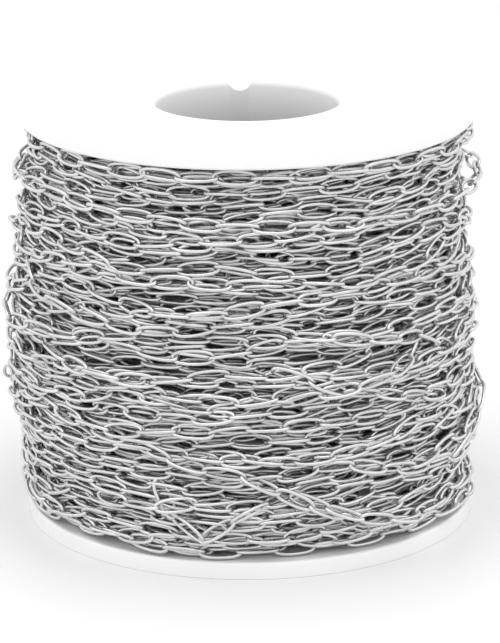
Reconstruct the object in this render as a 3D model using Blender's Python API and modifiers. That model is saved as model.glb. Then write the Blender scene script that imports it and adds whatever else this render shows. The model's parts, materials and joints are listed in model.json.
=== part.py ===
"""A reel of fine oval link chain: a flanged plastic spool, wound full, with the chain's free end hanging.

Metres, +Z up. The origin is on the spool's axis, in the plane that the lower flange stands on.
"""

from math import cos, pi, radians, sin, sqrt

import bpy
from mathutils import Matrix, Vector

COLLECTION = "chain_reel"

# The spool: two flanges with a bore collar each, joined by the drum that the chain is wound on.
FLANGE_R = 0.033
REEL_HEIGHT = 0.062
FLANGE_THICKNESS = 0.0025
BORE_R = 0.01325
COLLAR_R = 0.01525
RIM_INNER_R = 0.0266
RECESS_DEPTH = 0.0012
EDGE_BREAK = 0.0004
SPIGOT_LENGTH = 0.008
DRUM_R = 0.0240
DRUM_WALL = 0.0016
LOCATING_RING_WALL = 0.0015
LOCATING_RING_HEIGHT = 0.0015
NOTCH_R = 0.0023
NOTCH_RISE = 0.0006
TURNED_STEPS = 48

# Touching pieces keep this gap.
GAP = 0.0003

# The winding: buried layers as one barrel, and the outer layer turn by turn.
WINDING_END_R = 0.0324
WINDING_MID_R = 0.0344
TURNS = 30
TURN_DIAMETER = 0.0015
POINTS_PER_TURN = 26
BARREL_ROWS = 8

# One link of the chain: a drawn oval ring of round wire.
LINK_LENGTH = 0.0064
LINK_WIDTH = 0.0024
WIRE_DIAMETER = 0.00055
WIRE_PLAY = 0.0001
ARC_SEGMENTS = 6

# The free end crosses down over the top turns, then hangs straight down the outside of the winding.
TAIL_LINKS = 8
TAIL_ANGLE = radians(28)
TAIL_TOP_Z = 0.0500
TAIL_STANDOFF = 0.0017
TURN_END_ANGLE = TAIL_ANGLE - radians(10)

# Worked out from the driving dimensions.
WINDING_LOW_Z = FLANGE_THICKNESS + GAP
WINDING_HIGH_Z = REEL_HEIGHT - FLANGE_THICKNESS - GAP
TURN_R = TURN_DIAMETER / 2
TURN_PITCH = (WINDING_HIGH_Z - WINDING_LOW_Z - TURN_DIAMETER) / TURNS
WIRE_R = WIRE_DIAMETER / 2
CROWN_R = LINK_WIDTH / 2 - WIRE_R
WIRE_SPACING = WIRE_DIAMETER + WIRE_PLAY
LINK_PITCH = LINK_LENGTH - WIRE_DIAMETER - WIRE_SPACING

WHITE = (0.90, 0.90, 0.90, 1.0)
STEEL = (0.62, 0.62, 0.63, 1.0)
DARK_STEEL = (0.34, 0.34, 0.35, 1.0)


def clear_scene():
    for old in list(bpy.data.objects):
        bpy.data.objects.remove(old, do_unlink=True)


def new_collection(name):
    collection = bpy.data.collections.new(name)
    bpy.context.scene.collection.children.link(collection)
    return collection


def new_material(name, colour, roughness, metallic):
    material = bpy.data.materials.new(name)
    material.use_nodes = True
    shader = material.node_tree.nodes["Principled BSDF"]
    shader.inputs["Base Color"].default_value = colour
    shader.inputs["Roughness"].default_value = roughness
    shader.inputs["Metallic"].default_value = metallic
    return material


def add_object(name, data, material, collection):
    data.materials.append(material)
    piece = bpy.data.objects.new(name, data)
    collection.objects.link(piece)
    return piece


def turned(name, profile, material, collection):
    """A ring turned from a closed (radius, height) outline that runs down its outer side."""
    mesh = bpy.data.meshes.new(name)
    corners = [(radius, 0.0, height) for radius, height in profile]
    count = len(corners)
    mesh.from_pydata(corners, [(i, (i + 1) % count) for i in range(count)], [])
    piece = add_object(name, mesh, material, collection)
    screw = piece.modifiers.new("turn", "SCREW")
    screw.angle = 2 * pi
    screw.steps = TURNED_STEPS
    screw.render_steps = TURNED_STEPS
    screw.use_merge_vertices = True
    screw.merge_threshold = 0.00001
    screw.use_smooth_shade = False
    return piece


def wire(name, points, radius, sides_setting, closed, material, collection):
    """A round wire through the points: an endless ring, or an open length with flat ends."""
    curve = bpy.data.curves.new(name, "CURVE")
    curve.dimensions = "3D"
    curve.bevel_depth = radius
    curve.bevel_resolution = sides_setting
    curve.use_fill_caps = not closed
    spline = curve.splines.new("POLY")
    spline.points.add(len(points) - 1)
    for target, point in zip(spline.points, points):
        target.co = (point[0], point[1], point[2], 1.0)
    spline.use_cyclic_u = closed
    return add_object(name, curve, material, collection)


def winding_radius(z):
    """The winding's outer radius at a height: a barrel that bulges past the flanges half way up."""
    middle = (WINDING_LOW_Z + WINDING_HIGH_Z) / 2
    offset = (z - middle) / (WINDING_HIGH_Z - middle)
    return WINDING_END_R + (WINDING_MID_R - WINDING_END_R) * (1 - offset * offset)


def flange_profile():
    """Rim, recessed web, bore collar, spigot and locating ring, with the outer face at height 0."""
    inner_face = -FLANGE_THICKNESS
    ring_outer = DRUM_R - DRUM_WALL - GAP
    ring_inner = ring_outer - LOCATING_RING_WALL
    return [
        (RIM_INNER_R + EDGE_BREAK, 0.0),
        (FLANGE_R - EDGE_BREAK, 0.0),
        (FLANGE_R, -EDGE_BREAK),
        (FLANGE_R, inner_face + EDGE_BREAK),
        (FLANGE_R - EDGE_BREAK, inner_face),
        (ring_outer, inner_face),
        (ring_outer, inner_face - LOCATING_RING_HEIGHT),
        (ring_inner, inner_face - LOCATING_RING_HEIGHT),
        (ring_inner, inner_face),
        (COLLAR_R, inner_face),
        (COLLAR_R, inner_face - SPIGOT_LENGTH),
        (BORE_R, inner_face - SPIGOT_LENGTH),
        (BORE_R, -EDGE_BREAK),
        (BORE_R + EDGE_BREAK, 0.0),
        (COLLAR_R, 0.0),
        (COLLAR_R, -RECESS_DEPTH),
        (RIM_INNER_R, -RECESS_DEPTH),
    ]


def notch_cutter(collection):
    """A half-round slot across the upper collar, where a tie can pass over the bore's edge."""
    start = BORE_R - COLLAR_R * 0.1
    length = COLLAR_R - start
    bpy.ops.mesh.primitive_cylinder_add(
        vertices=24,
        radius=NOTCH_R,
        depth=length,
        location=(0.0, start + length / 2, REEL_HEIGHT + NOTCH_RISE),
        rotation=(pi / 2, 0.0, 0.0),
    )
    cutter = bpy.context.active_object
    cutter.name = "collar_notch_cutter"
    for holder in list(cutter.users_collection):
        holder.objects.unlink(cutter)
    collection.objects.link(cutter)
    cutter.hide_render = True
    cutter.display_type = "WIRE"
    return cutter


def build_spool(plastic, collection, cutters):
    upper = turned("upper_flange", flange_profile(), plastic, collection)
    upper.location.z = REEL_HEIGHT
    cut = upper.modifiers.new("collar_notch", "BOOLEAN")
    cut.operation = "DIFFERENCE"
    cut.object = notch_cutter(cutters)

    lower = turned("lower_flange", flange_profile(), plastic, collection)
    lower.rotation_euler.x = pi

    inner = DRUM_R - DRUM_WALL
    outline = [
        (DRUM_R, WINDING_HIGH_Z),
        (DRUM_R, WINDING_LOW_Z),
        (inner, WINDING_LOW_Z),
        (inner, WINDING_HIGH_Z),
    ]
    turned("winding_drum", outline, plastic, collection)


def build_inner_windings(steel, collection):
    """The buried layers of chain, as the barrel-shaped sleeve that they fill."""
    rise = (WINDING_HIGH_Z - WINDING_LOW_Z) / BARREL_ROWS
    heights = [WINDING_HIGH_Z - i * rise for i in range(BARREL_ROWS + 1)]
    outline = [(winding_radius(z) - TURN_DIAMETER - GAP, z) for z in heights]
    outline += [(DRUM_R + GAP, WINDING_LOW_Z), (DRUM_R + GAP, WINDING_HIGH_Z)]
    turned("inner_windings", outline, steel, collection)


def turn_points(index):
    """One turn of the outer layer: a helix that stops short of where the next turn begins."""
    points = []
    joint = GAP / 2 / WINDING_MID_R
    for i in range(POINTS_PER_TURN + 1):
        share = i / POINTS_PER_TURN
        angle = joint + (2 * pi - 2 * joint) * share
        z = WINDING_LOW_Z + TURN_R + TURN_PITCH * (index + share)
        radius = winding_radius(z) - TURN_R
        angle += TURN_END_ANGLE
        points.append((radius * cos(angle), radius * sin(angle), z))
    return points


def build_outer_turns(steel, collection):
    for index in range(TURNS):
        name = f"turn_{index + 1:02d}"
        wire(name, turn_points(index), TURN_R, 1, False, steel, collection)


def link_points():
    """A link's wire: two half circles and two straights, the hinge on the neighbour's wire at 0."""
    near = CROWN_R - WIRE_SPACING
    far = LINK_PITCH - CROWN_R
    points = []
    for i in range(ARC_SEGMENTS + 1):
        angle = pi / 2 + pi * i / ARC_SEGMENTS
        points.append((near + CROWN_R * cos(angle), CROWN_R * sin(angle), 0.0))
    for i in range(ARC_SEGMENTS + 1):
        angle = -pi / 2 + pi * i / ARC_SEGMENTS
        points.append((far + CROWN_R * cos(angle), CROWN_R * sin(angle), 0.0))
    return points


def link_frame(hinge, along, normal):
    """Stands a link on its hinge point, running along one direction, flat to another."""
    across = normal.cross(along)
    rows = zip(along, across, normal, hinge)
    return Matrix([tuple(row) for row in rows] + [(0.0, 0.0, 0.0, 1.0)])


def tail_radius(z):
    """Rests over the bulge down to half height, and hangs plumb below it."""
    middle = (WINDING_LOW_Z + WINDING_HIGH_Z) / 2
    return winding_radius(max(z, middle)) + TAIL_STANDOFF


def tail_frames(outward, sideways):
    """Each hanging link's frame. Links turn a quarter to their neighbours, as chain links do."""
    frames = []
    radius, z = tail_radius(TAIL_TOP_Z), TAIL_TOP_Z
    for index in range(TAIL_LINKS):
        lean = tail_radius(z - LINK_PITCH) - radius
        drop = sqrt(LINK_PITCH * LINK_PITCH - lean * lean)
        along = (outward * lean - Vector((0.0, 0.0, drop))).normalized()
        flat = index % 2 == 0
        normal = sideways.cross(along) if flat else sideways
        hinge = outward * radius + Vector((0.0, 0.0, z))
        frames.append(link_frame(hinge, along, normal))
        radius += lean
        z -= drop
    return frames


def build_free_end(steel, collection):
    outward = Vector((cos(TAIL_ANGLE), sin(TAIL_ANGLE), 0.0))
    sideways = Vector((-sin(TAIL_ANGLE), cos(TAIL_ANGLE), 0.0))
    top = outward * tail_radius(TAIL_TOP_Z) + Vector((0.0, 0.0, TAIL_TOP_Z))
    held = wire("last_wound_link", link_points(), WIRE_R, 2, True, steel, collection)
    upright = Vector((0.0, 0.0, 1.0))
    held.matrix_world = link_frame(top - sideways * LINK_PITCH, sideways, upright)
    for index, frame in enumerate(tail_frames(outward, sideways)):
        name = f"tail_link_{index + 1}"
        link = wire(name, link_points(), WIRE_R, 2, True, steel, collection)
        link.matrix_world = frame


def build():
    clear_scene()
    pieces = new_collection(COLLECTION)
    cutters = new_collection("cutters")
    plastic = new_material("white_plastic", WHITE, 0.35, 0.0)
    steel = new_material("chain_steel", STEEL, 0.22, 1.0)
    buried = new_material("buried_chain", DARK_STEEL, 0.40, 1.0)
    build_spool(plastic, pieces, cutters)
    build_inner_windings(buried, pieces)
    build_outer_turns(steel, pieces)
    build_free_end(steel, pieces)


build()
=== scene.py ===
"""Looks for the chain reel: a white moulded spool wound full with fine oval link chain.

Metres, +Z up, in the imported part's own frame. The winding is laid link by link: each link settles on the
relief of what is already wound, rolls about a quarter turn from its neighbour, and adds to the relief.
"""

import json

import bpy
import numpy as np
from mathutils import Matrix, Vector


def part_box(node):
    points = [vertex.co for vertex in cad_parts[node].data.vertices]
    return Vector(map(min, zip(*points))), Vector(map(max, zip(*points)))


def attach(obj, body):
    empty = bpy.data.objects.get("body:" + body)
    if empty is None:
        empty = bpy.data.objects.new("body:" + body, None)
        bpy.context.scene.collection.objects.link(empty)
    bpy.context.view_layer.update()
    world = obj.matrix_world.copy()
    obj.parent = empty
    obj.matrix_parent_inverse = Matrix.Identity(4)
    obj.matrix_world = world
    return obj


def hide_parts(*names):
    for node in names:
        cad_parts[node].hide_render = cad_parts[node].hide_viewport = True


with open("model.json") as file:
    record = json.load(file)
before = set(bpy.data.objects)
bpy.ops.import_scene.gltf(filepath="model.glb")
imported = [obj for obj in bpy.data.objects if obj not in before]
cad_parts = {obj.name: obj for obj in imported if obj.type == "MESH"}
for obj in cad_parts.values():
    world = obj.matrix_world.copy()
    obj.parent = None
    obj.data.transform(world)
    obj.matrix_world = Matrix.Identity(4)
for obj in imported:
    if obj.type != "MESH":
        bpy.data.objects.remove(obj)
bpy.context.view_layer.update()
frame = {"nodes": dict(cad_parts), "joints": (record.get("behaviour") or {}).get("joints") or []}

MM = 0.001
SPOOL_BODY = "spool"

# --- sizes that the frame gives -------------------------------------------------------------------

upper_low, upper_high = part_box("upper_flange")
core_low, core_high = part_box("inner_windings")
drum_low, drum_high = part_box("winding_drum")
HEIGHT = upper_high.z
FLANGE_R = (upper_high.x - upper_low.x) / 2
DRUM_R = (drum_high.x - drum_low.x) / 2
WINDING_LOW = core_low.z
WINDING_HIGH = core_high.z
FREE_END = np.array(frame["joints"][0]["pos_m"], float)
FREE_END_ANGLE = np.arctan2(FREE_END[1], FREE_END[0])

# --- camera ---------------------------------------------------------------------------------------

CAMERA_DISTANCE = 0.500
CAMERA_HEIGHT = 0.1807
CAMERA_TILT = np.radians(16.98)
CAMERA_YAW = np.radians(0.019)
CAMERA_ROLL = np.radians(-0.456)
SENSOR_HEIGHT = 24.0
IMAGE_HEIGHT = 643
FOCAL_PIXELS = 3541


def build_camera():
    camera = bpy.data.objects.new("camera", bpy.data.cameras.new("camera"))
    bpy.context.scene.collection.objects.link(camera)
    camera.data.sensor_fit = "VERTICAL"
    camera.data.sensor_height = SENSOR_HEIGHT
    camera.data.lens = FOCAL_PIXELS * SENSOR_HEIGHT / IMAGE_HEIGHT
    camera.data.clip_start = 0.01
    camera.data.clip_end = 10
    forward = Vector((np.sin(CAMERA_YAW) * np.cos(CAMERA_TILT), np.cos(CAMERA_YAW) * np.cos(CAMERA_TILT),
                      -np.sin(CAMERA_TILT)))
    turn = forward.to_track_quat("-Z", "Y").to_matrix() @ Matrix.Rotation(CAMERA_ROLL, 3, "Z")
    camera.matrix_world = Matrix.Translation((0, -CAMERA_DISTANCE, CAMERA_HEIGHT)) @ turn.to_4x4()
    bpy.context.scene.camera = camera


# --- materials ------------------------------------------------------------------------------------

NOISE_SPAN = (0.3, 0.7)
PLASTIC = (0.80, 0.80, 0.80)
# Painted shade: the plastic's colour deep inside the bore, where light falls off.
PLASTIC_PAINTED_SHADE_IN_BORE = (0.50, 0.50, 0.50)


def material(name, colour, metallic, roughness):
    made = bpy.data.materials.new(name)
    made.use_nodes = True
    shader = made.node_tree.nodes["Principled BSDF"]
    shader.inputs["Base Color"].default_value = (*colour, 1.0)
    shader.inputs["Metallic"].default_value = metallic
    shader.inputs["Roughness"].default_value = roughness
    return made, made.node_tree.nodes, made.node_tree.links, shader


def noise_node(nodes, links, scale, detail, stretch=(1, 1, 1)):
    where = nodes.new("ShaderNodeTexCoord")
    mapping = nodes.new("ShaderNodeMapping")
    mapping.inputs["Scale"].default_value = stretch
    noise = nodes.new("ShaderNodeTexNoise")
    noise.inputs["Scale"].default_value = scale
    noise.inputs["Detail"].default_value = detail
    links.new(where.outputs["Object"], mapping.inputs["Vector"])
    links.new(mapping.outputs["Vector"], noise.inputs["Vector"])
    return noise


def range_node(nodes, links, source, low, high, span=NOISE_SPAN, smooth=False):
    """Maps a span of the source to low..high."""
    ramp = nodes.new("ShaderNodeMapRange")
    if smooth:
        ramp.interpolation_type = "SMOOTHSTEP"
    ramp.inputs["From Min"].default_value, ramp.inputs["From Max"].default_value = span
    ramp.inputs["To Min"].default_value = low
    ramp.inputs["To Max"].default_value = high
    links.new(source, ramp.inputs["Value"])
    return ramp.outputs["Result"]


def math_node(nodes, links, operation, first, second=None):
    """A math node; the second input is a socket, a number or nothing."""
    made = nodes.new("ShaderNodeMath")
    made.operation = operation
    links.new(first, made.inputs[0])
    if isinstance(second, float):
        made.inputs[1].default_value = second
    elif second is not None:
        links.new(second, made.inputs[1])
    return made.outputs["Value"]


def colour_mix(nodes, links, first, second, share, shader):
    mix = nodes.new("ShaderNodeMix")
    mix.data_type = "RGBA"
    mix.inputs["A"].default_value = (*first, 1.0)
    mix.inputs["B"].default_value = (*second, 1.0)
    links.new(share, mix.inputs["Factor"])
    links.new(mix.outputs["Result"], shader.inputs["Base Color"])


def bump_node(nodes, links, source, distance, strength, shader):
    bump = nodes.new("ShaderNodeBump")
    bump.inputs["Strength"].default_value = strength
    bump.inputs["Distance"].default_value = distance
    links.new(source, bump.inputs["Height"])
    links.new(bump.outputs["Normal"], shader.inputs["Normal"])


def steel(name, dark, light, rough_low, rough_high):
    """Drawn stainless wire: neutral grey, brighter or duller from link to link, with faint die marks."""
    made, nodes, links, shader = material(name, dark, 1.0, rough_low)
    tone = noise_node(nodes, links, 230, 2)
    colour_mix(nodes, links, dark, light, range_node(nodes, links, tone.outputs["Fac"], 0, 1), shader)
    wear = noise_node(nodes, links, 420, 3)
    rough = range_node(nodes, links, wear.outputs["Fac"], rough_low, rough_high)
    links.new(rough, shader.inputs["Roughness"])
    marks = noise_node(nodes, links, 1500, 2)
    bump_node(nodes, links, marks.outputs["Fac"], 0.00002, 0.12, shader)
    return made


def white_plastic():
    """Moulded white plastic: a soft sheen, very slight orange peel, duller patches, and painted shade that
    greys it down the bore.
    """
    made, nodes, links, shader = material("white_plastic", PLASTIC, 0.0, 0.35)
    place = nodes.new("ShaderNodeNewGeometry")
    flat = nodes.new("ShaderNodeVectorMath")
    flat.operation = "MULTIPLY"
    flat.inputs[1].default_value = (1, 1, 0)
    links.new(place.outputs["Position"], flat.inputs[0])
    radius = nodes.new("ShaderNodeVectorMath")
    radius.operation = "LENGTH"
    links.new(flat.outputs["Vector"], radius.inputs[0])
    # Painted shade down the bore: the base colour greys from 1 mm to 10 mm in from each end face, inside the
    # bore's radius.
    in_bore = range_node(nodes, links, radius.outputs["Value"], 1, 0, (BORE_R + 0.2 * MM, BORE_R + 1.0 * MM))
    split = nodes.new("ShaderNodeSeparateXYZ")
    links.new(place.outputs["Position"], split.inputs["Vector"])
    level = math_node(nodes, links, "SUBTRACT", split.outputs["Z"], HEIGHT / 2)
    off_middle = math_node(nodes, links, "ABSOLUTE", level)
    depth = range_node(nodes, links, off_middle, 1, 0, (HEIGHT / 2 - 10 * MM, HEIGHT / 2 - 1 * MM))
    painted_shade_share = math_node(nodes, links, "MULTIPLY", in_bore, depth)
    colour_mix(nodes, links, PLASTIC, PLASTIC_PAINTED_SHADE_IN_BORE, painted_shade_share, shader)
    peel = noise_node(nodes, links, 700, 3)
    bump_node(nodes, links, peel.outputs["Fac"], 0.00004, 0.25, shader)
    patches = noise_node(nodes, links, 90, 3)
    links.new(range_node(nodes, links, patches.outputs["Fac"], 0.30, 0.42), shader.inputs["Roughness"])
    return made


# --- meshes ---------------------------------------------------------------------------------------

TURNED_STEPS = 180
FILLET_POINTS = 6
SHARP_ANGLE = np.radians(40)


def add_quads(name, points, quads, surface):
    """A smooth-shaded mesh from arrays: points (n, 3) and quads (m, 4)."""
    mesh = bpy.data.meshes.new(name)
    mesh.vertices.add(len(points))
    mesh.vertices.foreach_set("co", np.ascontiguousarray(points, np.float32).ravel())
    mesh.loops.add(quads.size)
    mesh.loops.foreach_set("vertex_index", np.ascontiguousarray(quads, np.int32).ravel())
    mesh.polygons.add(len(quads))
    mesh.polygons.foreach_set("loop_start", np.arange(0, quads.size, 4, dtype=np.int32))
    mesh.update(calc_edges=True)
    mesh.materials.append(surface)
    mesh.shade_smooth()
    piece = bpy.data.objects.new(name, mesh)
    bpy.context.scene.collection.objects.link(piece)
    return piece


def fillets(corners):
    """An outline's points from (radius, height, rounding) corners, each rounded one as an arc."""
    points = []
    for index, (radius, height, rounding) in enumerate(corners):
        here = np.array((radius, height))
        if not rounding:
            points.append(tuple(here))
            continue
        before = np.array(corners[index - 1][:2]) - here
        after = np.array(corners[(index + 1) % len(corners)][:2]) - here
        before, after = before / np.linalg.norm(before), after / np.linalg.norm(after)
        half = np.arccos(np.clip(before.dot(after), -1, 1)) / 2
        centre = here + (before + after) / np.linalg.norm(before + after) * rounding / np.sin(half)
        start = here + before * rounding / np.tan(half) - centre
        end = here + after * rounding / np.tan(half) - centre
        for share in np.linspace(0, 1, FILLET_POINTS):
            spoke = start * (1 - share) + end * share
            points.append(tuple(centre + spoke / np.linalg.norm(spoke) * rounding))
    return points


def turned(name, outline, surface):
    """A ring turned about Z from a closed (radius, height) outline."""
    radius, height = np.array(outline).T
    area = (radius * np.roll(height, -1) - np.roll(radius, -1) * height).sum()
    if area > 0:
        radius, height = radius[::-1], height[::-1]
    angle = 2 * np.pi * np.arange(TURNED_STEPS) / TURNED_STEPS
    points = np.stack([np.outer(np.cos(angle), radius), np.outer(np.sin(angle), radius),
                       np.tile(height, (TURNED_STEPS, 1))], axis=-1)
    count = len(radius)
    step, corner = np.meshgrid(np.arange(TURNED_STEPS), np.arange(count), indexing="ij")
    step_next, corner_next = (step + 1) % TURNED_STEPS, (corner + 1) % count
    quads = np.stack([step * count + corner, step * count + corner_next, step_next * count + corner_next,
                      step_next * count + corner], axis=-1)
    piece = add_quads(name, points.reshape(-1, 3), quads.reshape(-1, 4), surface)
    piece.data.set_sharp_from_angle(angle=SHARP_ANGLE)
    return piece


# --- one link -------------------------------------------------------------------------------------

LINK_LENGTH = 6.4 * MM
LINK_WIDTH = 2.4 * MM
WIRE_R = 0.275 * MM
HALF_LENGTH = LINK_LENGTH / 2 - WIRE_R
HALF_WIDTH = LINK_WIDTH / 2 - WIRE_R
CHAIN_PITCH = LINK_LENGTH - 4 * WIRE_R
OVAL_POWER = 2.5


def oval(turns):
    """The link's centre line at shares of a turn: an oval with bowed sides and blunt ends."""
    angle = 2 * np.pi * np.asarray(turns)
    along = np.sign(np.cos(angle)) * np.abs(np.cos(angle)) ** (2 / OVAL_POWER)
    across = np.sign(np.sin(angle)) * np.abs(np.sin(angle)) ** (2 / OVAL_POWER)
    return HALF_LENGTH * along, HALF_WIDTH * across


def even_turns(count):
    """Shares of a turn that space points along the oval's length, closer together round its ends."""
    fine = np.linspace(0, 1, 721)
    x, y = oval(fine)
    step = np.hypot(np.diff(x), np.diff(y))
    heading = np.unwrap(np.arctan2(np.diff(y), np.diff(x)))
    bend = np.abs(np.diff(heading, prepend=heading[-1] - 2 * np.pi))
    weight = step / step.sum() + 1.6 * bend / bend.sum()
    run = np.concatenate([[0], np.cumsum(weight)])
    return np.interp(np.arange(count) / count * run[-1], run, fine)


def link_template(rings, sides):
    """A link's points and quads, lying in the XY plane with its length along X."""
    turns = even_turns(rings)
    x, y = oval(turns)
    ahead = np.roll(np.stack([x, y]), -1, axis=1)
    behind = np.roll(np.stack([x, y]), 1, axis=1)
    tangent = ahead - behind
    tangent /= np.linalg.norm(tangent, axis=0)
    normal = np.stack([tangent[1], -tangent[0]])
    around = 2 * np.pi * (np.arange(sides) + 0.5) / sides
    points = np.empty((rings, sides, 3))
    points[:, :, 0] = x[:, None] + WIRE_R * np.cos(around) * normal[0][:, None]
    points[:, :, 1] = y[:, None] + WIRE_R * np.cos(around) * normal[1][:, None]
    points[:, :, 2] = WIRE_R * np.sin(around)
    ring, side = np.meshgrid(np.arange(rings), np.arange(sides), indexing="ij")
    ring_next, side_next = (ring + 1) % rings, (side + 1) % sides
    quads = np.stack([ring * sides + side, ring_next * sides + side, ring_next * sides + side_next,
                      ring * sides + side_next], axis=-1)
    return points.reshape(-1, 3), quads.reshape(-1, 4)


def place_links(name, centres, frames, template, surface):
    """One mesh of many links. frames (n, 3, 3) hold each link's length, width and normal directions."""
    points, quads = template
    placed = np.einsum("pk,nkc->npc", points, frames) + centres[:, None, :]
    offsets = np.arange(len(centres)) * len(points)
    faces = (quads[None] + offsets[:, None, None]).reshape(-1, 4)
    return add_quads(name, placed.reshape(-1, 3), faces, surface)


# --- the winding ----------------------------------------------------------------------------------

CELL = 0.25 * MM
TOP_R = 30.3 * MM
BOTTOM_R = 31.2 * MM
BULGE_R = 33.6 * MM
BULGE_Z = 15.5 * MM
BURIED = 4.3 * MM
FULLER_SIDE = 1.7 * MM
EDGE_ROOM = 0.9 * MM
DWELL = 1.4 * MM
WRAPS_PER_LAYER = 35
LOWEST = WINDING_LOW + EDGE_ROOM
HIGHEST = WINDING_HIGH - EDGE_ROOM
ANGLE_CELLS = int(2 * np.pi * TOP_R / CELL)
HEIGHT_CELLS = int(HEIGHT / CELL) + 1
RING_SAMPLES = oval(np.arange(18) / 18)
TRACE_SAMPLES = oval(even_turns(64))
CONTACTS = 3
MARK_DELAY = 3
LEAD_ANGLE = np.radians(170)
END_LIFT = 0.3 * MM
END_REACH = 2.9 * MM
END_ROOM = 0.9 * MM
END_WIDTH = np.radians(11)
SLIPS = np.linspace(-1, 1, 9)
LEANS = np.radians([-16, 0, 16])
TUCK = 1.4 * MM
LUMP = 0.35 * MM
MARK_OFFSETS = ((0.0, 1.0), (0.7, 0.7), (-0.7, 0.7))
OFF_TARGET_COST = 250
BEND_COST = 0.006
LEAN_COST = 0.001
WHIM = 0.00012
BURIED_WAVES = 0.6 * MM
OUTER_WAVES = 0.65 * MM
SEED = 5
RIDGE = 0.3 * MM
RIDGE_ROWS = 6
SLEEVE_DEPTH = 0.5 * MM
SLEEVE_ROOM = 0.1 * MM


def winding_radius(z):
    """The full winding's profile: a barrel, widest a little below half way."""
    above = z > BULGE_Z
    reach = np.where(above, WINDING_HIGH - BULGE_Z, BULGE_Z - WINDING_LOW)
    return BULGE_R - (BULGE_R - np.where(above, TOP_R, BOTTOM_R)) * ((z - BULGE_Z) / reach) ** 2


def eased(share):
    return share * share * (3 - 2 * share)


def wander(rng, count, knot_spacing, amplitude):
    """A value that drifts smoothly along the chain: random knots with eased stretches between them."""
    knots = rng.normal(0, amplitude, count // knot_spacing + 3)
    index, share = np.divmod(np.arange(count) / knot_spacing, 1)
    index, share = index.astype(int), eased(share)
    return knots[index] * (1 - share) + knots[index + 1] * share


class Unevenness:
    """A value that varies smoothly over the winding, the same for wraps that lie side by side."""

    def __init__(self, rng, around, high, amplitude):
        self.knots = rng.normal(0, amplitude, (around, high + 2))
        self.around, self.high = around, high

    def at(self, angle, z):
        column, across = np.divmod(np.asarray(angle) / (2 * np.pi) * self.around, 1)
        rise = np.clip((np.asarray(z) - WINDING_LOW) / (WINDING_HIGH - WINDING_LOW), 0, 1)
        row, up = np.divmod(rise * self.high, 1)
        column, row, across, up = column.astype(int), row.astype(int), eased(across), eased(up)
        here, there = column % self.around, (column + 1) % self.around
        low = self.knots[here, row] * (1 - across) + self.knots[there, row] * across
        top = self.knots[here, row + 1] * (1 - across) + self.knots[there, row + 1] * across
        return low * (1 - up) + top * up


class Run:
    """A stretch of chain: its joints (angle, z), and each link's distance from the axis and roll."""

    def __init__(self, angle, z):
        self.joints = [(angle, z)]
        self.radii = []
        self.rolls = []

    def add(self, angle, z, radius, roll):
        self.joints.append((angle, z))
        self.radii.append(radius)
        self.rolls.append(roll)

    def placed(self):
        """Centres and frames of the links. Neighbours share their joint, half way between their radii."""
        radii = np.array(self.radii)
        between = (radii[1:] + radii[:-1]) / 2
        radius = np.concatenate([[radii[0]], between, [radii[-1]]])
        angle, z = np.array(self.joints).T
        joints = np.stack([radius * np.cos(angle), radius * np.sin(angle), z], axis=1)
        centres = (joints[1:] + joints[:-1]) / 2
        along = joints[1:] - joints[:-1]
        along /= np.linalg.norm(along, axis=1)[:, None]
        outward = centres * (1, 1, 0)
        outward /= np.linalg.norm(outward, axis=1)[:, None]
        side = np.cross(outward, along)
        side /= np.linalg.norm(side, axis=1)[:, None]
        face = np.cross(along, side)
        roll = np.array(self.rolls)[:, None]
        width = side * np.cos(roll) + face * np.sin(roll)
        return centres, np.stack([along, width, np.cross(along, width)], axis=1)


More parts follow.
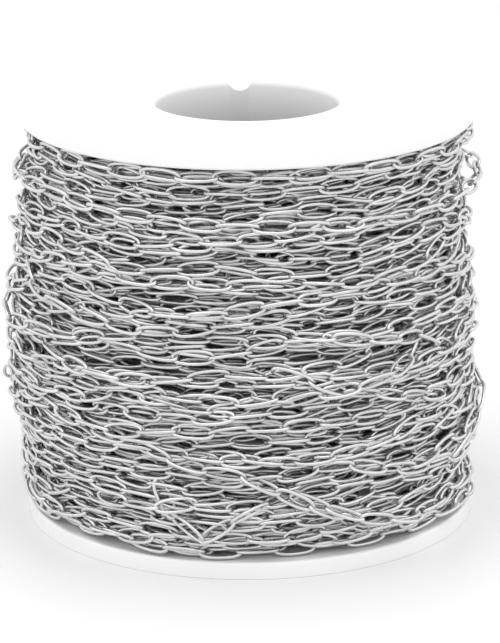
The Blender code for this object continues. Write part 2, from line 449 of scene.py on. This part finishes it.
class Winder:
    """Lays chain on a relief map of the winding, one link after another."""

    def __init__(self, seed):
        self.rng = np.random.default_rng(seed)
        heights = (np.arange(HEIGHT_CELLS) + 0.5) * CELL
        profile = winding_radius(np.clip(heights, WINDING_LOW, WINDING_HIGH)) - BURIED
        lumps = Unevenness(self.rng, 22, 7, LUMP)
        angles = (np.arange(ANGLE_CELLS) + 0.5) / ANGLE_CELLS * 2 * np.pi
        rows = [lumps.at(angles, np.full(ANGLE_CELLS, z)) for z in heights]
        rise = np.clip((heights - WINDING_LOW) / (WINDING_HIGH - WINDING_LOW), 0, 1)
        fuller = FULLER_SIDE * np.outer(np.maximum(0, -np.cos(angles)), np.sqrt(np.sin(np.pi * rise)))
        off_end = (angles - FREE_END_ANGLE + np.pi) % (2 * np.pi) - np.pi
        pressed = END_ROOM * np.exp(-(off_end / END_WIDTH) ** 2)[:, None]
        self.relief = profile + fuller - pressed + np.stack(rows, axis=1)
        self.waiting = []

    def cells(self, angle, z, radius, slope, along, across):
        """Relief cells under points of a link, given along and across the link in its tangent plane."""
        tilt = np.arctan(slope)
        sideways = along * np.cos(tilt) - across * np.sin(tilt)
        upwards = along * np.sin(tilt) + across * np.cos(tilt)
        column = ((angle + sideways / radius) / (2 * np.pi) * ANGLE_CELLS).astype(int) % ANGLE_CELLS
        row = np.clip(((z + upwards) / CELL).astype(int), 0, HEIGHT_CELLS - 1)
        return column, row

    def seat(self, angle, z, radius, slope, roll):
        """How far out a link settles: it sinks until a few points of its wire bear on the relief."""
        x, y = RING_SAMPLES
        column, row = self.cells(angle[..., None], z[..., None], radius, slope[..., None],
                                 x, y * np.cos(roll)[..., None])
        needed = self.relief[column, row] + WIRE_R - y * np.sin(roll)[..., None]
        return np.partition(needed, -CONTACTS, axis=-1)[..., -CONTACTS]

    def mark(self, angle, z, radius, slope, roll):
        """Raises the relief to the top of a link's wire, once the chain has moved on past it."""
        self.waiting.append((angle, z, radius, slope, roll))
        if len(self.waiting) <= MARK_DELAY:
            return
        angle, z, radius, slope, roll = self.waiting.pop(0)
        x, y = TRACE_SAMPLES
        top = radius + y * np.sin(roll)
        for offset, height in MARK_OFFSETS:
            column, row = self.cells(angle, z, radius, slope, x, y * np.cos(roll) + offset * WIRE_R)
            np.maximum.at(self.relief, (column, row), top + height * WIRE_R)

    def wind(self, angle, heights, drift, freedom, slack):
        """Lays a link towards each height in turn, each slipping a little to lower ground."""
        z, slope, radius = heights[0], 0.0, winding_radius(heights[0]) - BURIED
        run = Run(angle, z)
        for index, target in enumerate(heights):
            rises = np.clip(target + freedom * SLIPS, LOWEST, HIGHEST)
            rise, lean = np.meshgrid(rises, LEANS, indexing="ij")
            slopes = (rise - z) / CHAIN_PITCH
            steps = CHAIN_PITCH * np.cos(np.arctan(slopes)) / radius
            rolls = drift[index] + index % 2 * np.pi / 2 + lean
            seats = self.seat(angle + steps / 2, (z + rise) / 2, radius, slopes, rolls)
            cost = seats + OFF_TARGET_COST * (rise - target) ** 2 + BEND_COST * (slopes - slope) ** 2
            cost = cost + LEAN_COST * lean ** 2 + self.rng.uniform(0, WHIM, cost.shape)
            best = np.unravel_index(np.argmin(cost), cost.shape)
            radius = seats[best] + slack[index]
            slope = slopes[best]
            self.mark(angle + steps[best] / 2, (z + rise[best]) / 2, radius, slope, rolls[best])
            angle, z = angle + steps[best], rise[best]
            run.add(angle, z, radius, rolls[best])
        return run

    def layer(self, upwards, wraps, start_angle, waviness):
        """A full traverse of the drum, from flange to flange."""
        rng = self.rng
        count = int(2 * np.pi * (BULGE_R - BURIED / 2) * wraps / CHAIN_PITCH)
        share = np.arange(count) / count
        travel = (share if upwards else 1 - share) * (HIGHEST - LOWEST + 2 * DWELL)
        level = np.clip(LOWEST - DWELL + travel, LOWEST, HIGHEST)
        shared = Unevenness(rng, 13, 8, waviness).at(start_angle + share * wraps * 2 * np.pi, level)
        freedom = np.clip(np.minimum(level - LOWEST, HIGHEST - level) / (5 * MM), 0, 1)
        heights = level + shared * freedom + wander(rng, count, 5, 0.5 * MM) * np.maximum(freedom, 0.4)
        drift = np.pi / 4 * (1 + np.tanh(wander(rng, count, 6, 1.5)))
        slack = 0.7 * MM * np.maximum(0, wander(rng, count, 3, 1.0) - 1.4)
        return self.wind(start_angle, heights, drift, 0.8 * MM, slack)

    def settle(self, joints, rolls):
        """Seats links between given (angle, z) joints on everything wound so far."""
        joints = np.array(joints)
        middles = (joints[1:] + joints[:-1]) / 2
        across = (joints[1:] - joints[:-1]) * (BULGE_R, 1)
        slopes = across[:, 1] / across[:, 0]
        seats = self.seat(middles[:, 0], middles[:, 1], BULGE_R, slopes, np.array(rolls))
        for index, seat in enumerate(seats):
            self.mark(*middles[index], seat, slopes[index], rolls[index])
        return seats

    def lead(self, run, angle, z, radius):
        """Carries a run on to a given joint, down over the wraps, and ends it at a given radius."""
        start_angle, start_z = run.joints[-1]
        reach = np.hypot((angle - start_angle) * BULGE_R, z - start_z)
        count = int(round(reach / CHAIN_PITCH))
        share = np.arange(1, count + 1) / count
        angles, heights = start_angle + (angle - start_angle) * share, start_z + (z - start_z) * eased(share)
        rolls = np.pi / 4 + np.arange(count) % 2 * np.pi / 2 + self.rng.uniform(-0.3, 0.3, count)
        seats = self.settle([run.joints[-1], *zip(angles, heights)], rolls)
        blend = np.clip(1 - np.arange(count - 1, -1, -1) / 3, 0, 1)
        for ahead, above, seat, roll in zip(angles, heights, seats * (1 - blend) + radius * blend, rolls):
            run.add(ahead, above, seat, roll)

    def strand(self, route, roll, lift):
        """Lays loose chain along a route of (angle, z) points over the wraps, with both ends tucked in."""
        angle, z = route[0]
        run = Run(angle, z)
        for target_angle, target_z in route[1:]:
            while np.hypot((target_angle - angle) * BULGE_R, target_z - z) > CHAIN_PITCH / 2:
                heading = np.arctan2(target_z - z, (target_angle - angle) * BULGE_R)
                ahead = angle + CHAIN_PITCH * np.cos(heading) / BULGE_R
                above = z + CHAIN_PITCH * np.sin(heading)
                run.add(ahead, above, 0, roll + len(run.rolls) % 2 * np.pi / 2 + self.rng.uniform(-0.2, 0.2))
                angle, z = ahead, above
        seats = self.settle(run.joints, run.rolls) + lift
        seats[[0, -1]] -= TUCK
        run.radii = list(seats)
        return run


def add_run(name, run, chosen, template, surface):
    centres, frames = run.placed()
    piece = place_links(name, centres[chosen], frames[chosen], template, surface)
    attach(piece, SPOOL_BODY)
    return piece


def build_sleeve(buried_painted_shade_steel):
    """The oldest layers, packed too tight to see into: a barrel in the buried layers' steel, whose darker
    colour is painted shade, ridged like the wraps on it.
    """
    rows = RIDGE_ROWS * WRAPS_PER_LAYER
    heights = np.linspace(WINDING_LOW, WINDING_HIGH, rows + 1)
    ridges = RIDGE * np.cos(2 * np.pi * np.arange(rows + 1) / RIDGE_ROWS)
    outer = winding_radius(heights) - BURIED - SLEEVE_DEPTH + ridges
    inner = DRUM_R + SLEEVE_ROOM
    outline = list(zip(outer, heights)) + [(inner, WINDING_HIGH), (inner, WINDING_LOW)]
    sleeve = turned("packed_core", outline, buried_painted_shade_steel)
    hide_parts("inner_windings")
    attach(sleeve, SPOOL_BODY)


# Loose strands that cross the wraps: name, roll, lift in mm, and (degrees from the front, mm up) points.
STRANDS = (
    ("vee", 50, 0.2, ((13, 12.4), (5, 11.6), (-3, 9.6), (-13, 5.7), (-21, 10), (-24, 15))),
    ("long_diagonal", 25, 0.3,
     ((-28, 19.5), (-19, 18), (-12.7, 17), (-3.5, 16), (5, 13.9), (14, 11.1), (22, 8.9), (27, 7))),
    ("over_the_vee", 0, 0.5, ((-40, 10.2), (-26, 10.7), (-15, 11.4), (-4, 11.8))),
    ("low_right", 15, 0.3, ((10, 12.6), (21, 9.8), (28, 8.2), (40, 6.4))),
    ("level_right", 10, 0.2, ((2, 35.9), (12, 35.6), (23, 35.2), (34, 34), (48, 32.6), (62, 28.5))),
    ("falling_right", 35, 0.2, ((6, 31), (12, 29.8), (19, 28.2), (32, 26.2), (45, 24), (58, 22.5))),
    ("rising_right", 40, 0.55, ((8, 25.8), (16, 27.2), (24, 28), (34, 28.8), (42, 30), (54, 33.5))),
    ("falling_left", 30, 0.3, ((-72, 41), (-60, 38.5), (-48, 37), (-36, 36.2))),
    ("right_flank", 60, 0.1, ((60, 12.5), (74, 16), (87, 20), (100, 24))),
    ("left_flank", 20, 0.3, ((-120, 12), (-106, 15), (-92, 20.5), (-80, 22))),
    ("back_left", 45, 0.3, ((-172, 46), (-158, 42.5), (-143, 41), (-128, 36.5))),
    ("back_right", 30, 0.3, ((130, 17), (147, 21.5), (163, 24), (182, 31), (196, 33))),
)


def front_angle(degrees):
    return np.radians(degrees - 90)


def free_end_joint():
    """Where the last wound link takes over from the outer layer: angle, height and radius."""
    radius = np.hypot(FREE_END[0], FREE_END[1])
    return FREE_END_ANGLE - CHAIN_PITCH / radius, FREE_END[2], radius - END_LIFT


def build_winding(bright, painted_shade_steel, buried_painted_shade_steel):
    winder = Winder(SEED)
    # The second layer and the buried layers wear the darker steel copies: painted shade for the depth of the
    # winding.
    buried = (("buried_chain", True, (12, 5), buried_painted_shade_steel), ("third_layer", False, (14, 5), buried_painted_shade_steel),
              ("second_layer", True, (16, 6), painted_shade_steel))
    for name, upwards, detail, surface in buried:
        run = winder.layer(upwards, WRAPS_PER_LAYER, 0.0, BURIED_WAVES)
        template = link_template(*detail)
        for part, chosen in enumerate(np.array_split(np.arange(len(run.radii)), 2)):
            piece = add_run(f"{name}_{part + 1}", run, chosen, template, surface)
            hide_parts("inner_windings")
    template = link_template(22, 8)
    outer = winder.layer(True, WRAPS_PER_LAYER, 0.0, OUTER_WAVES)
    end_angle, end_z, end_radius = free_end_joint()
    full_turns = np.ceil((outer.joints[-1][0] + LEAD_ANGLE - end_angle) / (2 * np.pi))
    winder.lead(outer, end_angle + full_turns * 2 * np.pi, end_z, end_radius)
    turns = sorted(name for name in frame["nodes"] if name.startswith("turn_"))
    for name, chosen in zip(turns, np.array_split(np.arange(len(outer.radii)), len(turns))):
        piece = add_run(f"chain_{name}", outer, chosen, template, bright)
        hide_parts(name)
    for name, roll, lift, points in STRANDS:
        route = [(front_angle(degrees), height * MM) for degrees, height in points]
        run = winder.strand(route, np.radians(roll), lift * MM)
        add_run(f"crossing_{name}", run, slice(None), template, bright)


def build_link(node, body, centre, along, normal, template, surface):
    """One link that takes a CAD node's place, with its length along one direction and flat to another."""
    frames = np.stack([along, np.cross(normal, along), normal])[None]
    piece = place_links(f"chain_{node}", centre[None], frames, template, surface)
    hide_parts(node)
    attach(piece, body)


def build_hanging_end(bright):
    """The free end: each link sits on its hinge, flat to the hinge's axis. The last wound link holds it."""
    template = link_template(30, 10)
    for joint in frame["joints"]:
        child = joint["child"]
        node = child.replace("hanging", "tail")
        low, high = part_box(node)
        centre = np.array((low + high) / 2)
        normal = np.array(joint["axis"], float)
        along = centre - np.array(joint["pos_m"], float)
        along -= normal * along.dot(normal)
        along /= np.linalg.norm(along)
        build_link(node, child, centre, along, normal, template, bright)
    angle, height, radius = free_end_joint()
    start = np.array((radius * np.cos(angle), radius * np.sin(angle), height))
    along = (FREE_END - start) / np.linalg.norm(FREE_END - start)
    centre = FREE_END - along * END_REACH
    build_link("last_wound_link", SPOOL_BODY, centre, along, np.array([0.0, 0.0, 1.0]), template, bright)


# --- the spool ------------------------------------------------------------------------------------

PLAY = 0.3 * MM
FLANGE_THICKNESS = WINDING_LOW - PLAY
BORE_R = 13.25 * MM
COLLAR_R = 15.25 * MM
RIM_INNER_R = 26.6 * MM
RECESS_DEPTH = 1.2 * MM
SPIGOT_LENGTH = 8 * MM
DRUM_WALL = 1.6 * MM
NOTCH_R = 1.8 * MM
NOTCH_DEPTH = 2.1 * MM
NOTCH_X = -1.0 * MM
NOTCH_SLOPE = np.radians(15)
NOTCH_MIDDLE = 2.25 * MM
NOTCH_LENGTH = 8.4 * MM


def flange_outline():
    """Rim, recessed web, bore collar, spigot and locating ring, with the outer face at height 0."""
    inside = -FLANGE_THICKNESS
    ring_outer = DRUM_R - DRUM_WALL - PLAY
    ring_inner = ring_outer - 1.5 * MM
    ring_end = inside - 1.5 * MM
    spigot_end = inside - SPIGOT_LENGTH
    return fillets([
        (RIM_INNER_R, 0, 0.5 * MM),
        (FLANGE_R, 0, 0.12 * MM),
        (FLANGE_R, inside, 0.45 * MM),
        (ring_outer, inside, 0),
        (ring_outer, ring_end, 0.2 * MM),
        (ring_inner, ring_end, 0.2 * MM),
        (ring_inner, inside, 0.2 * MM),
        (COLLAR_R, inside, 0.3 * MM),
        (COLLAR_R, spigot_end, 0.3 * MM),
        (BORE_R, spigot_end, 0.3 * MM),
        (BORE_R, 0, 1.5 * MM),
        (COLLAR_R, 0, 0.4 * MM),
        (COLLAR_R, -RECESS_DEPTH, 0.4 * MM),
        (RIM_INNER_R, -RECESS_DEPTH, 0.4 * MM),
    ])


def cut_notch(flange):
    """A half-round groove across the collar, on the side away from the camera, rising outwards."""
    height = HEIGHT - NOTCH_DEPTH + NOTCH_R / np.cos(NOTCH_SLOPE) + NOTCH_MIDDLE * np.tan(NOTCH_SLOPE)
    bpy.ops.mesh.primitive_cylinder_add(vertices=64, radius=NOTCH_R, depth=NOTCH_LENGTH,
                                        location=(NOTCH_X, BORE_R + NOTCH_MIDDLE, height),
                                        rotation=(np.pi / 2 + NOTCH_SLOPE, 0, 0))
    cutter = bpy.context.active_object
    cut = flange.modifiers.new("notch", "BOOLEAN")
    cut.object = cutter
    depsgraph = bpy.context.evaluated_depsgraph_get()
    whole = flange.data
    flange.data = bpy.data.meshes.new_from_object(flange.evaluated_get(depsgraph))
    flange.modifiers.clear()
    bpy.data.meshes.remove(whole)
    bpy.data.objects.remove(cutter)
    flange.data.set_sharp_from_angle(angle=SHARP_ANGLE)


def build_spool(plastic):
    outline = flange_outline()
    upper = turned("moulded_upper_flange", [(r, HEIGHT + z) for r, z in outline], plastic)
    cut_notch(upper)
    lower = turned("moulded_lower_flange", [(r, -z) for r, z in outline], plastic)
    inner = DRUM_R - DRUM_WALL
    drum = turned("moulded_drum", [(DRUM_R, drum_high.z), (DRUM_R, drum_low.z), (inner, drum_low.z),
                                   (inner, drum_high.z)], plastic)
    for piece, node in ((upper, "upper_flange"), (lower, "lower_flange"), (drum, "winding_drum")):
        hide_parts(node)
        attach(piece, SPOOL_BODY)


# --- the stage and its light ----------------------------------------------------------------------

FLOOR_HALF = 3.0
FLOOR = (0.77, 0.77, 0.77)
BACKDROP = 0.62
BACKDROP_SPAN = (np.sin(np.radians(2.5)), np.sin(np.radians(7)))
HORIZON_LIGHT = 1.18
ZENITH_LIGHT = 0.9
FADE_SPAN = (np.sin(np.radians(20)), np.sin(np.radians(60)))
FRONT_LIGHT = 0.92
SIDE_LIGHT = 1.3
SIDE_SPAN = (0.05, 1.0)
OVERHEAD_WATTS = 4.4
OVERHEAD_SIZE = 1.1
OVERHEAD_PLACE = (0, -0.25, 0.8)


def build_stage():
    plane = bpy.data.meshes.new("floor")
    corners = [(-FLOOR_HALF, -FLOOR_HALF, 0), (FLOOR_HALF, -FLOOR_HALF, 0), (FLOOR_HALF, FLOOR_HALF, 0),
               (-FLOOR_HALF, FLOOR_HALF, 0)]
    plane.from_pydata(corners, [], [(0, 1, 2, 3)])
    floor = bpy.data.objects.new("floor", plane)
    bpy.context.scene.collection.objects.link(floor)
    plane.materials.append(material("floor", FLOOR, 0.0, 0.5)[0])


def build_lights():
    """A white tent: bright at the sides, dimmer overhead but for one broad lamp, greyer at the horizon."""
    world = bpy.data.worlds.new("studio")
    bpy.context.scene.world = world
    world.use_nodes = True
    nodes, links = world.node_tree.nodes, world.node_tree.links
    direction = nodes.new("ShaderNodeTexCoord")
    split = nodes.new("ShaderNodeSeparateXYZ")
    links.new(direction.outputs["Generated"], split.inputs["Vector"])
    fade = range_node(nodes, links, split.outputs["Z"], HORIZON_LIGHT, ZENITH_LIGHT, FADE_SPAN, smooth=True)
    sideways = math_node(nodes, links, "ABSOLUTE", split.outputs["X"])
    sides = range_node(nodes, links, sideways, FRONT_LIGHT, SIDE_LIGHT, SIDE_SPAN)
    backdrop = range_node(nodes, links, split.outputs["Z"], BACKDROP, 1.0, BACKDROP_SPAN, smooth=True)
    both = math_node(nodes, links, "MULTIPLY", fade, sides)
    total = math_node(nodes, links, "MULTIPLY", both, backdrop)
    links.new(total, nodes["Background"].inputs["Strength"])
    nodes["Background"].inputs["Color"].default_value = (1, 1, 1, 1)
    overhead = bpy.data.objects.new("overhead", bpy.data.lights.new("overhead", "AREA"))
    overhead.data.shape = "DISK"
    overhead.data.size = OVERHEAD_SIZE
    overhead.data.energy = OVERHEAD_WATTS
    overhead.location = OVERHEAD_PLACE
    bpy.context.scene.collection.objects.link(overhead)


def build():
    bpy.context.scene.view_settings.view_transform = "Standard"
    build_camera()
    # Lit and shaded copies of one steel: the second layer's and the buried layers' copies are painted a
    # shade darker than the outer layer's, painted shade for the depth of the winding, and rougher.
    bright = steel("chain_steel", (0.565, 0.565, 0.568), (0.695, 0.695, 0.698), 0.24, 0.34)
    painted_shade_steel = steel("steel_painted_shade", (0.56, 0.56, 0.563), (0.68, 0.68, 0.683), 0.28, 0.40)
    buried_painted_shade_steel = steel("buried_steel_painted_shade", (0.56, 0.56, 0.563), (0.68, 0.68, 0.683), 0.32, 0.44)
    plastic = white_plastic()
    build_spool(plastic)
    build_sleeve(buried_painted_shade_steel)
    build_winding(bright, painted_shade_steel, buried_painted_shade_steel)
    build_hanging_end(bright)
    build_stage()
    build_lights()


build()
